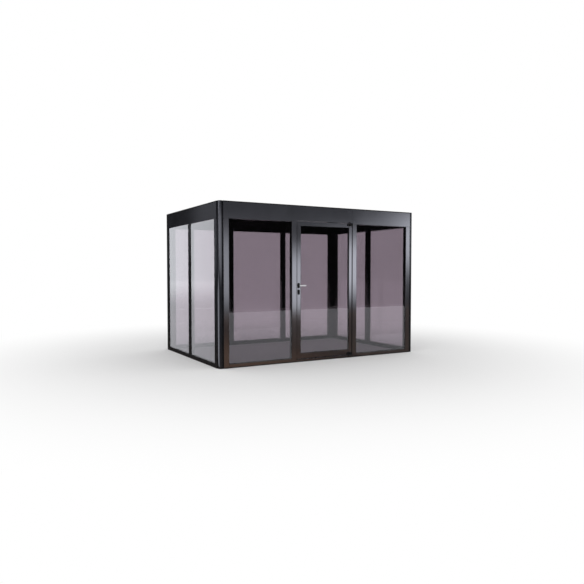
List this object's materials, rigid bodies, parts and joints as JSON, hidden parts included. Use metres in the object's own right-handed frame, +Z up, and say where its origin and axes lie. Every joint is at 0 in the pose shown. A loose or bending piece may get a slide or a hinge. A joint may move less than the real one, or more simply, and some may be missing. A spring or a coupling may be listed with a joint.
{
  "type": "flat-roofed glass greenhouse",
  "caption": "Flat-roofed garden greenhouse with a dark coated aluminium frame, tinted glass walls and roof, rounded corner posts and a pivot-hung glazed door with a lever handle.",
  "frame": {"origin": "middle of the plan at ground level", "axes": "+X to the right along the front, +Y from the door to the back, +Z up"},
  "size_m": [3.374, 2.3405, 2.25],
  "materials": {
    "frame_coat": "anthracite powder coat, satin",
    "tinted_glass": "grey tinted float glass",
    "lever_metal": "polished",
    "black_fitting": "black satin coat"
  },
  "bodies": {
    "frame": {"back_base_rails": "frame_coat", "back_fascia": "frame_coat", "back_mullions": "frame_coat", "back_pane_left": "tinted_glass", "back_pane_middle": "tinted_glass", "back_pane_right": "tinted_glass", "back_stiles": "frame_coat", "corner_post_back_left": "frame_coat", "corner_post_back_right": "frame_coat", "corner_post_front_left": "frame_coat", "corner_post_front_right": "frame_coat", "door_head": "frame_coat", "door_post_hinge": "frame_coat", "door_post_latch": "frame_coat", "door_stop": "frame_coat", "door_threshold": "frame_coat", "front_base_rails": "frame_coat", "front_fascia_left": "frame_coat", "front_fascia_right": "frame_coat", "front_pane_left": "tinted_glass", "front_pane_right": "tinted_glass", "front_stiles": "frame_coat", "left_base_rails": "frame_coat", "left_fascia": "frame_coat", "left_mullion": "frame_coat", "left_pane_back": "tinted_glass", "left_pane_front": "tinted_glass", "left_stiles": "frame_coat", "pivot_brackets": "frame_coat", "right_base_rails": "frame_coat", "right_fascia": "frame_coat", "right_mullion": "frame_coat", "right_pane_back": "tinted_glass", "right_pane_front": "tinted_glass", "right_stiles": "frame_coat", "roof_glazing_caps": "frame_coat", "roof_pane_left": "tinted_glass", "roof_pane_middle": "tinted_glass", "roof_pane_right": "tinted_glass", "roof_rafters": "frame_coat"},
    "door": {"door_bottom_rail": "frame_coat", "door_pane": "tinted_glass", "door_pivots": "black_fitting", "door_roses": "black_fitting", "door_stile_hinge": "frame_coat", "door_stile_latch": "frame_coat", "door_top_rail": "frame_coat", "lock_cylinder": "black_fitting"},
    "lever": {"door_lever": "lever_metal"}
  },
  "joints": [
    {"name": "door_swing", "type": "hinge", "parent": "frame", "child": "door", "pos_m": [0.443, -1.16, 0], "axis": [0, 0, 1], "range_deg": [0, 100]},
    {"name": "lever_turn", "type": "hinge", "parent": "door", "child": "lever", "pos_m": [-0.453, -1.122, 1.102], "axis": [0, 1, 0], "range_deg": [0, 45], "stiffness_Nm_per_rad": 1, "springref_deg": -28.65}
  ]
}
